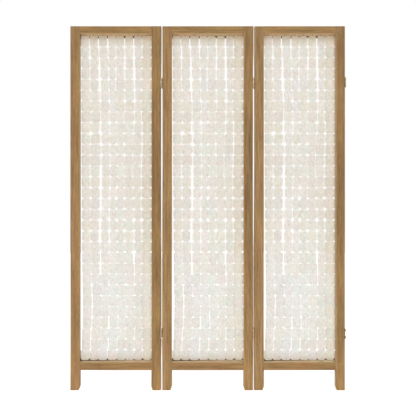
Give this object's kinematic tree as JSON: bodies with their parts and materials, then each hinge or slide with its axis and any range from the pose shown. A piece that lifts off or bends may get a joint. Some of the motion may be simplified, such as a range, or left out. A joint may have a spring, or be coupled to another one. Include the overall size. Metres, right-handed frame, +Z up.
{
  "type": "folding partition screen",
  "caption": "Free-standing folding screen: tall wooden frames joined edge to edge by two-way hinges, each filled with vertical strands of pale rounded shell plates.",
  "frame": {"origin": "middle of the screen's footprint on the floor, at the bottom centre of its bounding box", "axes": "+Z up, the front of the screen faces -Y, +X to the right as seen from the front"},
  "size_m": [1.3624, 0.0392, 1.8],
  "materials": {
    "stile_wood": "satin, straight vertical grain",
    "rail_wood": "satin, straight level grain",
    "batten_wood": "matt brown",
    "shell": "satin, off-white with a faint pearl sheen",
    "hinge_metal": "aged, dull grey-tan"
  },
  "bodies": {
    "middle_panel": {"middle_stile_left": "stile_wood", "middle_stile_right": "stile_wood", "middle_rail_top": "rail_wood", "middle_rail_bottom": "rail_wood", "middle_batten_top": "batten_wood", "middle_batten_bottom": "batten_wood", "middle_strand_1": "shell", "middle_strand_2": "shell", "middle_strand_3": "shell", "middle_strand_4": "shell", "middle_strand_5": "shell", "middle_strand_6": "shell", "middle_strand_7": "shell", "middle_strand_8": "shell", "left_upper_hinge_back_leaf": "hinge_metal", "left_lower_hinge_back_leaf": "hinge_metal", "right_upper_hinge_front_leaf": "hinge_metal", "right_lower_hinge_front_leaf": "hinge_metal"},
    "left_link": {"left_upper_hinge_link": "hinge_metal", "left_lower_hinge_link": "hinge_metal"},
    "left_panel": {"left_stile_left": "stile_wood", "left_stile_right": "stile_wood", "left_rail_top": "rail_wood", "left_rail_bottom": "rail_wood", "left_batten_top": "batten_wood", "left_batten_bottom": "batten_wood", "left_strand_1": "shell", "left_strand_2": "shell", "left_strand_3": "shell", "left_strand_4": "shell", "left_strand_5": "shell", "left_strand_6": "shell", "left_strand_7": "shell", "left_strand_8": "shell", "left_upper_hinge_front_leaf": "hinge_metal", "left_lower_hinge_front_leaf": "hinge_metal"},
    "right_link": {"right_upper_hinge_link": "hinge_metal", "right_lower_hinge_link": "hinge_metal"},
    "right_panel": {"right_stile_left": "stile_wood", "right_stile_right": "stile_wood", "right_rail_top": "rail_wood", "right_rail_bottom": "rail_wood", "right_batten_top": "batten_wood", "right_batten_bottom": "batten_wood", "right_strand_1": "shell", "right_strand_2": "shell", "right_strand_3": "shell", "right_strand_4": "shell", "right_strand_5": "shell", "right_strand_6": "shell", "right_strand_7": "shell", "right_strand_8": "shell", "right_upper_hinge_back_leaf": "hinge_metal", "right_lower_hinge_back_leaf": "hinge_metal", "spare_upper_hinge_leaf": "hinge_metal", "spare_lower_hinge_leaf": "hinge_metal"}
  },
  "joints": [
    {"name": "left_link_back_pin", "type": "hinge", "parent": "middle_panel", "child": "left_link", "pos_m": [-0.22865, 0.017, 0.9], "axis": [0, 0, -1], "range_deg": [0, 90]},
    {"name": "left_panel_front_pin", "type": "hinge", "parent": "left_link", "child": "left_panel", "pos_m": [-0.23225, -0.017, 0.9], "axis": [0, 0, 1], "range_deg": [0, 180]},
    {"name": "right_link_front_pin", "type": "hinge", "parent": "middle_panel", "child": "right_link", "pos_m": [0.22315, -0.017, 0.9], "axis": [0, 0, -1], "range_deg": [0, 90]},
    {"name": "right_panel_back_pin", "type": "hinge", "parent": "right_link", "child": "right_panel", "pos_m": [0.22675, 0.017, 0.9], "axis": [0, 0, 1], "range_deg": [0, 180]}
  ]
}
